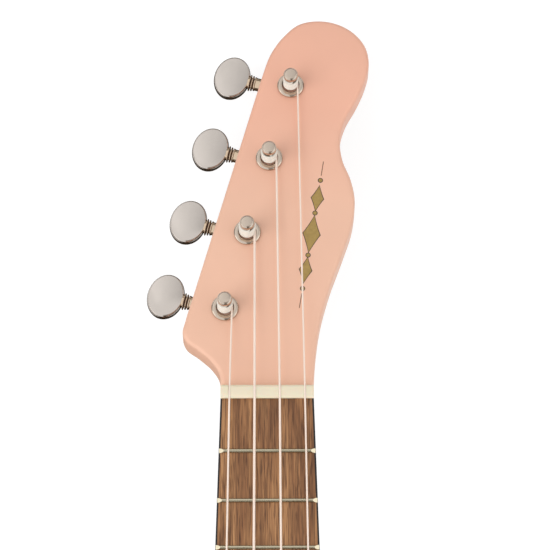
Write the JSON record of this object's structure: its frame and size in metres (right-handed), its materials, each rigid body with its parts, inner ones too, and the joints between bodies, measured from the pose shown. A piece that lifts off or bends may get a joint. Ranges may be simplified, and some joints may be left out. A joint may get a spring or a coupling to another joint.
{
  "type": "soprano ukulele",
  "caption": "Small four-string ukulele with a hollow figure-eight body, fretted neck, tilted one-side headstock and geared tuners.",
  "frame": {"origin": "on the back plate's outer face, on the centre line, directly under the saddle", "axes": "+X to the treble side, +Y from the bridge to the headstock, +Z from the back plate to the strings"},
  "size_m": [0.165, 0.5662, 0.0769],
  "materials": {
    "pink_paint": "satin shell-pink paint over wood",
    "bare_wood": "raw spruce and mahogany",
    "walnut": "oiled walnut with straight grain",
    "black_binding": "black binding",
    "fret_wire": "polished nickel silver",
    "pearl_dot": "pearl",
    "cream_bone": "cream bone substitute",
    "nylon": "translucent white nylon",
    "nickel": "polished nickel plate",
    "brass_gear": "cut brass",
    "screw_steel": "nickel-plated steel"
  },
  "bodies": {
    "instrument": {"soundboard": "pink_paint", "back_plate": "pink_paint", "side_left": "pink_paint", "side_right": "pink_paint", "neck_block": "bare_wood", "tail_block": "bare_wood", "top_linings": "bare_wood", "back_linings": "bare_wood", "top_braces": "bare_wood", "fan_braces": "bare_wood", "bridge_patch": "bare_wood", "back_braces": "bare_wood", "rosette": "black_binding", "neck": "pink_paint", "headstock": "pink_paint", "neck_dowels": "bare_wood", "fingerboard": "walnut", "binding_left": "black_binding", "binding_right": "black_binding", "frets": "fret_wire", "fret_markers": "pearl_dot", "nut": "cream_bone", "bridge": "walnut", "saddle": "cream_bone", "string_g": "nylon", "string_c": "nylon", "string_e": "nylon", "string_a": "nylon", "bushing_g": "nickel", "bushing_c": "nickel", "bushing_e": "nickel", "bushing_a": "nickel", "base_plate_g": "nickel", "base_plate_c": "nickel", "base_plate_e": "nickel", "base_plate_a": "nickel", "tuner_screws": "screw_steel"},
    "button_g_turner": {"button_g": "nickel", "worm_shaft_g": "nickel"},
    "post_g_turner": {"post_g": "nickel", "gear_g": "brass_gear", "gear_screw_g": "screw_steel"},
    "button_c_turner": {"button_c": "nickel", "worm_shaft_c": "nickel"},
    "post_c_turner": {"post_c": "nickel", "gear_c": "brass_gear", "gear_screw_c": "screw_steel"},
    "button_e_turner": {"button_e": "nickel", "worm_shaft_e": "nickel"},
    "post_e_turner": {"post_e": "nickel", "gear_e": "brass_gear", "gear_screw_e": "screw_steel"},
    "button_a_turner": {"button_a": "nickel", "worm_shaft_a": "nickel"},
    "post_a_turner": {"post_a": "nickel", "gear_a": "brass_gear", "gear_screw_a": "screw_steel"}
  },
  "joints": [
    {"name": "button_g_turn", "type": "hinge", "parent": "instrument", "child": "button_g_turner", "pos_m": [-0.03879, 0.38713, 0.039], "axis": [0.9655, -0.2516, 0.0674], "continuous": true},
    {"name": "post_g_turn", "type": "hinge", "parent": "instrument", "child": "post_g_turner", "pos_m": [-0.01583, 0.38054, 0.05795], "axis": [0, 0.2588, 0.9659], "continuous": true, "deforming": ["string_g"]},
    {"name": "button_c_turn", "type": "hinge", "parent": "instrument", "child": "button_c_turner", "pos_m": [-0.03044, 0.41702, 0.03099], "axis": [0.9655, -0.2516, 0.0674], "continuous": true},
    {"name": "post_c_turn", "type": "hinge", "parent": "instrument", "child": "post_c_turner", "pos_m": [-0.00748, 0.41043, 0.04994], "axis": [0, 0.2588, 0.9659], "continuous": true, "deforming": ["string_c"]},
    {"name": "button_e_turn", "type": "hinge", "parent": "instrument", "child": "button_e_turner", "pos_m": [-0.02209, 0.44691, 0.02298], "axis": [0.9655, -0.2516, 0.0674], "continuous": true},
    {"name": "post_e_turn", "type": "hinge", "parent": "instrument", "child": "post_e_turner", "pos_m": [0.00087, 0.44032, 0.04193], "axis": [0, 0.2588, 0.9659], "continuous": true, "deforming": ["string_e"]},
    {"name": "button_a_turn", "type": "hinge", "parent": "instrument", "child": "button_a_turner", "pos_m": [-0.01374, 0.4768, 0.01497], "axis": [0.9655, -0.2516, 0.0674], "continuous": true},
    {"name": "post_a_turn", "type": "hinge", "parent": "instrument", "child": "post_a_turner", "pos_m": [0.00921, 0.47021, 0.03392], "axis": [0, 0.2588, 0.9659], "continuous": true, "deforming": ["string_a"]}
  ],
  "couplings": [
    {"joint": "post_g_turn", "follows": "button_g_turn", "ratio": 0.076923},
    {"joint": "post_c_turn", "follows": "button_c_turn", "ratio": 0.076923},
    {"joint": "post_e_turn", "follows": "button_e_turn", "ratio": 0.076923},
    {"joint": "post_a_turn", "follows": "button_a_turn", "ratio": 0.076923}
  ]
}
